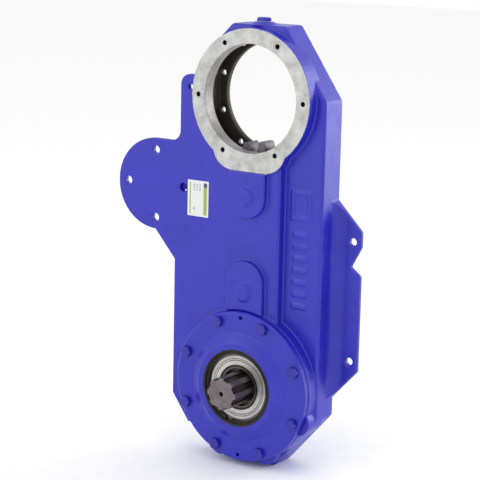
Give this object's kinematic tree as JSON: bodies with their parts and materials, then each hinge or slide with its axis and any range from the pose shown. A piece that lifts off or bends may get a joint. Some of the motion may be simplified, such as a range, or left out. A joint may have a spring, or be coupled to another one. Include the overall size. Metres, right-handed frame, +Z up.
{
  "type": "spur gear drop box",
  "caption": "Tall narrow cast gear housing with an open machined input ring at the top, spur idlers inside and a splined output shaft low on the front.",
  "frame": {"origin": "centre of the machined input ring on its front face", "axes": "+X to the right seen from the front, +Y from the front face into the housing along the shafts, +Z up from the output shaft towards the input ring"},
  "size_m": [0.4752, 0.1768, 0.7925],
  "materials": {
    "blue_paint": "semi-gloss enamel over cast iron, machined faces left bare",
    "seal_rubber": "matte",
    "ball_steel": "polished",
    "gasket_fibre": "matte",
    "label_film": "printed film",
    "seal_washer": "soft, plain",
    "gear_steel": "ground teeth, oily",
    "fastener_steel": "zinc plated",
    "bearing_steel": "ground",
    "turned_steel": "turned, lightly oiled"
  },
  "bodies": {
    "housing": {"breather_plug": "blue_paint", "breather_washer": "seal_washer", "drain_plug": "fastener_steel", "front_bearing_circlip": "bearing_steel", "front_bearing_outer_ring": "bearing_steel", "front_bearing_shield": "bearing_steel", "housing": "blue_paint", "lower_idler_axle": "turned_steel", "lower_idler_axle_o_ring": "seal_rubber", "lower_idler_axle_screws": "fastener_steel", "lower_idler_bearing_inner_rings": "bearing_steel", "lower_idler_spacer_sleeves": "turned_steel", "output_cover": "blue_paint", "output_cover_bolts": "blue_paint", "output_cover_o_ring": "seal_rubber", "rear_bearing_cap": "blue_paint", "rear_bearing_outer_ring": "bearing_steel", "rear_cap_bolts": "fastener_steel", "rear_cap_gasket": "gasket_fibre", "type_label": "label_film", "upper_idler_axle": "turned_steel", "upper_idler_axle_o_ring": "seal_rubber", "upper_idler_axle_screws": "fastener_steel", "upper_idler_bearing_inner_rings": "bearing_steel", "upper_idler_spacer_sleeves": "turned_steel"},
    "output": {"front_bearing_inner_ring": "bearing_steel", "output_gear": "gear_steel", "output_gear_key": "turned_steel", "output_gear_spacer": "turned_steel", "output_shaft": "turned_steel", "rear_bearing_inner_ring": "bearing_steel", "shaft_circlip": "turned_steel"},
    "lower_idler": {"lower_idler_bearing_outer_rings": "bearing_steel", "lower_idler_circlips": "turned_steel", "lower_idler_gear": "gear_steel"},
    "upper_idler": {"upper_idler_bearing_outer_rings": "bearing_steel", "upper_idler_circlips": "turned_steel", "upper_idler_gear": "gear_steel"},
    "front_ball_set": {"front_bearing_balls": "ball_steel", "front_bearing_cage": "bearing_steel"},
    "rear_ball_set": {"rear_bearing_balls": "ball_steel", "rear_bearing_cage": "bearing_steel"},
    "lower_idler_ball_set": {"lower_idler_bearing_balls": "ball_steel", "lower_idler_bearing_cages": "bearing_steel"},
    "upper_idler_ball_set": {"upper_idler_bearing_balls": "ball_steel", "upper_idler_bearing_cages": "bearing_steel"}
  },
  "joints": [
    {"name": "output_spin", "type": "hinge", "parent": "housing", "child": "output", "pos_m": [0, 0.02, -0.51], "axis": [0, 1, 0], "continuous": true},
    {"name": "lower_idler_spin", "type": "hinge", "parent": "housing", "child": "lower_idler", "pos_m": [0, 0.047, -0.34], "axis": [0, 1, 0], "continuous": true},
    {"name": "upper_idler_spin", "type": "hinge", "parent": "housing", "child": "upper_idler", "pos_m": [0, 0.047, -0.17], "axis": [0, 1, 0], "continuous": true},
    {"name": "front_cage_spin", "type": "hinge", "parent": "housing", "child": "front_ball_set", "pos_m": [0, -0.0025, -0.51], "axis": [0, 1, 0], "continuous": true},
    {"name": "rear_cage_spin", "type": "hinge", "parent": "housing", "child": "rear_ball_set", "pos_m": [0, 0.079, -0.51], "axis": [0, 1, 0], "continuous": true},
    {"name": "lower_idler_cage_spin", "type": "hinge", "parent": "housing", "child": "lower_idler_ball_set", "pos_m": [0, 0.047, -0.34], "axis": [0, 1, 0], "continuous": true},
    {"name": "upper_idler_cage_spin", "type": "hinge", "parent": "housing", "child": "upper_idler_ball_set", "pos_m": [0, 0.047, -0.17], "axis": [0, 1, 0], "continuous": true}
  ],
  "couplings": [
    {"joint": "lower_idler_spin", "follows": "output_spin", "ratio": -1},
    {"joint": "upper_idler_spin", "follows": "output_spin", "ratio": 1},
    {"joint": "front_cage_spin", "follows": "output_spin", "ratio": 0.4151},
    {"joint": "rear_cage_spin", "follows": "output_spin", "ratio": 0.4333},
    {"joint": "lower_idler_cage_spin", "follows": "output_spin", "ratio": -0.5722},
    {"joint": "upper_idler_cage_spin", "follows": "output_spin", "ratio": 0.5722}
  ]
}
